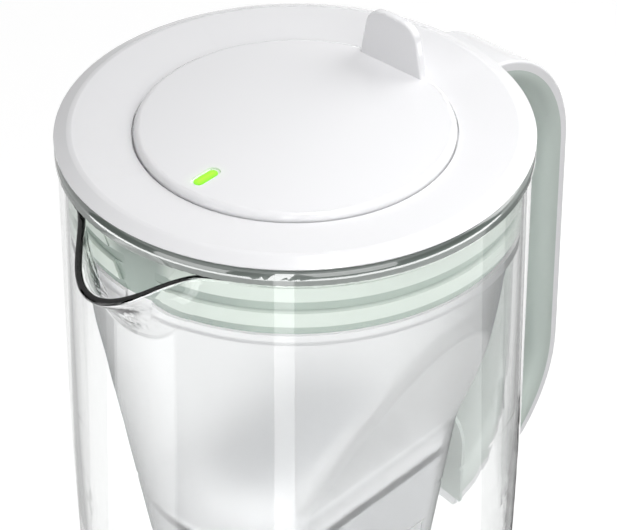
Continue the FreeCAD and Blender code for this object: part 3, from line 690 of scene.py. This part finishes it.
def welded(tree, shape):
    """Shape with the points that lie on each other made one."""
    return add(tree, "GeometryNodeMergeByDistance", {"Geometry": shape, "Distance": WELD}).outputs[0]


def finish_tree(tree, out, parts, material):
    """Joins the parts, makes copies real and gives them their material."""
    real = add(tree, "GeometryNodeRealizeInstances", {0: join(tree, parts)})
    dressed = add(tree, "GeometryNodeSetMaterial", {"Geometry": real.outputs[0], "Material": material})
    tree.links.new(dressed.outputs[0], out.inputs[0])


def level_faces(tree):
    """Picks the faces that look up or down, and leaves the walls."""
    tip = split(tree, add(tree, "GeometryNodeInputNormal").outputs[0])["Z"]
    return math_node(tree, "GREATER_THAN", math_node(tree, "ABSOLUTE", tip), FLAT)


print("geometry helpers ready")

# %% [markdown]
# A strainer is woven: each wire goes over and under the ones it crosses. One straight wire is copied
# across the disc, the same is done at a right angle, and a cosine of the place lifts one set where it
# lowers the other. Wires are trimmed to the strainer's outline, and the rim is the outer wall of the
# strainer's own solid, drawn inwards.

# %% Woven strainers
WIRE = 0.00032
WIRE_PITCH = 0.002
WIRE_SIDES = 5
WIRE_STEPS = 4.0
RIM = 0.0016
RIM_OVERLAP = 0.0006


def arrow(tree, **parts):
    """Vector from the parts that are given, zero along the other axes."""
    return add(tree, "ShaderNodeCombineXYZ", parts).outputs[0]


def woven_wires(tree, given, turn, lift):
    """One set of wires across the disc, turned about the axis and lifted at every other crossing."""
    pitch = given["Pitch"]
    rows = math_node(tree, "FLOOR", math_node(tree, "DIVIDE", given["Radius"], pitch))
    reach = math_node(tree, "MULTIPLY", rows, pitch)
    back = math_node(tree, "MULTIPLY", reach, -1.0)
    line = add(tree, "GeometryNodeMeshLine", {
        "Count": math_node(tree, "MULTIPLY_ADD", rows, 2.0, 1.0),
        "Start Location": arrow(tree, Y=back), "Offset": arrow(tree, Y=pitch)})
    wire = add(tree, "GeometryNodeCurvePrimitiveLine", {
        "Start": arrow(tree, X=back), "End": arrow(tree, X=reach)})
    fine = add(tree, "GeometryNodeResampleCurve", {
        "Curve": wire.outputs[0], "Count": math_node(tree, "MULTIPLY_ADD", rows, WIRE_STEPS, 1.0)})
    copies = add(tree, "GeometryNodeInstanceOnPoints", {
        "Points": line.outputs[0], "Instance": fine.outputs[0]})
    real = add(tree, "GeometryNodeRealizeInstances", {0: copies.outputs[0]})
    turned = add(tree, "GeometryNodeTransform", {"Geometry": real.outputs[0], "Rotation": (0, 0, turn)})
    spot = split(tree, add(tree, "GeometryNodeInputPosition").outputs[0])
    steps = math_node(tree, "DIVIDE", math_node(tree, "ADD", spot["X"], spot["Y"]), pitch)
    wave = math_node(tree, "COSINE", math_node(tree, "MULTIPLY", steps, math.pi))
    rise = math_node(tree, "MULTIPLY", math_node(tree, "MULTIPLY", wave, given["Wire"]), lift)
    level = math_node(tree, "ADD", rise, given["Height"])
    woven = add(tree, "GeometryNodeSetPosition", {
        "Geometry": turned.outputs[0], "Offset": arrow(tree, Z=level)})
    past_edge = math_node(tree, "GREATER_THAN", length(tree, spot["X"], spot["Y"]), given["Radius"])
    past_flat = math_node(tree, "GREATER_THAN", math_node(tree, "ABSOLUTE", spot["Y"]), given["Half Width"])
    outside = math_node(tree, "MAXIMUM", past_edge, past_flat)
    trimmed = add(tree, "GeometryNodeDeleteGeometry", {
        "Geometry": woven.outputs[0], "Selection": outside}, domain="POINT")
    section = add(tree, "GeometryNodeCurvePrimitiveCircle", {
        "Resolution": WIRE_SIDES, "Radius": given["Wire"]})
    return add(tree, "GeometryNodeCurveToMesh", {
        "Curve": trimmed.outputs[0], "Profile Curve": section.outputs[0], "Fill Caps": True}).outputs[0]


def strainer_rim(tree, given):
    """Outer wall of the solid, with an inner wall drawn in from it."""
    whole = welded(tree, given["Geometry"])
    wall = add(tree, "GeometryNodeDeleteGeometry", {
        "Geometry": whole, "Selection": level_faces(tree)}, domain="FACE").outputs[0]
    inwards = math_node(tree, "MULTIPLY", given["Rim"], -1.0)
    drawn = add(tree, "GeometryNodeExtrudeMesh", {"Mesh": wall, "Offset Scale": inwards, "Individual": False})
    inner = add(tree, "GeometryNodeFlipFaces", {"Mesh": drawn.outputs[0]}).outputs[0]
    return welded(tree, join(tree, [wall, inner]))


def strainer_tree():
    tree, given, out = start_group("woven strainer", "GeometryNodeTree", [
        ("Geometry", GEOMETRY, None),
        ("Radius", VALUE, 0.04),
        ("Half Width", VALUE, 0.03),
        ("Height", VALUE, 0.1),
        ("Pitch", VALUE, WIRE_PITCH),
        ("Wire", VALUE, WIRE),
        ("Rim", VALUE, RIM),
    ], [("Geometry", GEOMETRY)])
    across = woven_wires(tree, given, turn=0.0, lift=1.0)
    along = woven_wires(tree, given, turn=math.pi / 2, lift=-1.0)
    finish_tree(tree, out, [across, along, strainer_rim(tree, given)], strainer)
    return tree


weave = strainer_tree()
for node in ("upper_mesh", "lower_mesh"):
    low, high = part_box(node)
    piece = made_by(weave, node + "_woven", nodes[node].data.copy(), {
        "Radius": high.x - RIM_OVERLAP, "Half Width": high.y - RIM_OVERLAP, "Height": (low.z + high.z) / 2})
    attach(piece, "cartridge")
    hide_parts(node)
    print(piece.name, len(piece.data.polygons), "faces")

# %% [markdown]
# The filter bed is a heap of small black grains. Only its top and bottom can be seen, through the
# strainers, so grains are scattered there over a core that is a little smaller than the bed. Each is a ball
# of twenty faces with its own size and turn, which is enough for something a millimetre wide.

# %% Filter grains
GRAIN = 0.0009
GRAIN_SPREAD = 700000.0
GRAIN_SEED = 4
GRAIN_LEAST = 0.55
GRAIN_MOST = 1.1
NO_TURN = (0, 0, 0)
MOST_TURN = (6.2, 6.2, 6.2)
CORE_SHARE = 0.965


def grain_tree():
    tree, given, out = start_group("filter grains", "GeometryNodeTree", [
        ("Geometry", GEOMETRY, None),
        ("Middle", VECTOR, None),
        ("Share", VALUE, CORE_SHARE),
        ("Grain", VALUE, GRAIN),
        ("Spread", VALUE, GRAIN_SPREAD),
        ("Seed", COUNT, GRAIN_SEED),
    ], [("Geometry", GEOMETRY)])
    whole = welded(tree, given["Geometry"])
    spot = add(tree, "GeometryNodeInputPosition").outputs[0]
    arm = add(tree, "ShaderNodeVectorMath", {0: spot, 1: given["Middle"]}, operation="SUBTRACT").outputs[0]
    short = add(tree, "ShaderNodeVectorMath", {0: arm, "Scale": given["Share"]}, operation="SCALE").outputs[0]
    moved = add(tree, "ShaderNodeVectorMath", {0: short, 1: given["Middle"]}, operation="ADD").outputs[0]
    core = add(tree, "GeometryNodeSetPosition", {"Geometry": whole, "Position": moved}).outputs[0]
    spots = add(tree, "GeometryNodeDistributePointsOnFaces", {
        "Mesh": core, "Selection": level_faces(tree), "Density": given["Spread"], "Seed": given["Seed"]})
    ball = add(tree, "GeometryNodeMeshIcoSphere", {"Radius": given["Grain"], "Subdivisions": 1})
    size = add(tree, "FunctionNodeRandomValue", {
        2: GRAIN_LEAST, 3: GRAIN_MOST, "Seed": given["Seed"]}, data_type="FLOAT")
    turn = add(tree, "FunctionNodeRandomValue", {
        0: NO_TURN, 1: MOST_TURN, "Seed": given["Seed"]}, data_type="FLOAT_VECTOR")
    heap = add(tree, "GeometryNodeInstanceOnPoints", {
        "Points": spots.outputs["Points"], "Instance": ball.outputs[0], "Rotation": turn.outputs[0],
        "Scale": size.outputs[1]})
    finish_tree(tree, out, [core, heap.outputs[0]], grains)
    return tree


low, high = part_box("filter_media")
bed = made_by(grain_tree(), "filter_bed", nodes["filter_media"].data.copy(), {"Middle": (low + high) / 2})
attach(bed, "cartridge")
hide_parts("filter_media")
print(bed.name, len(bed.data.polygons), "faces")
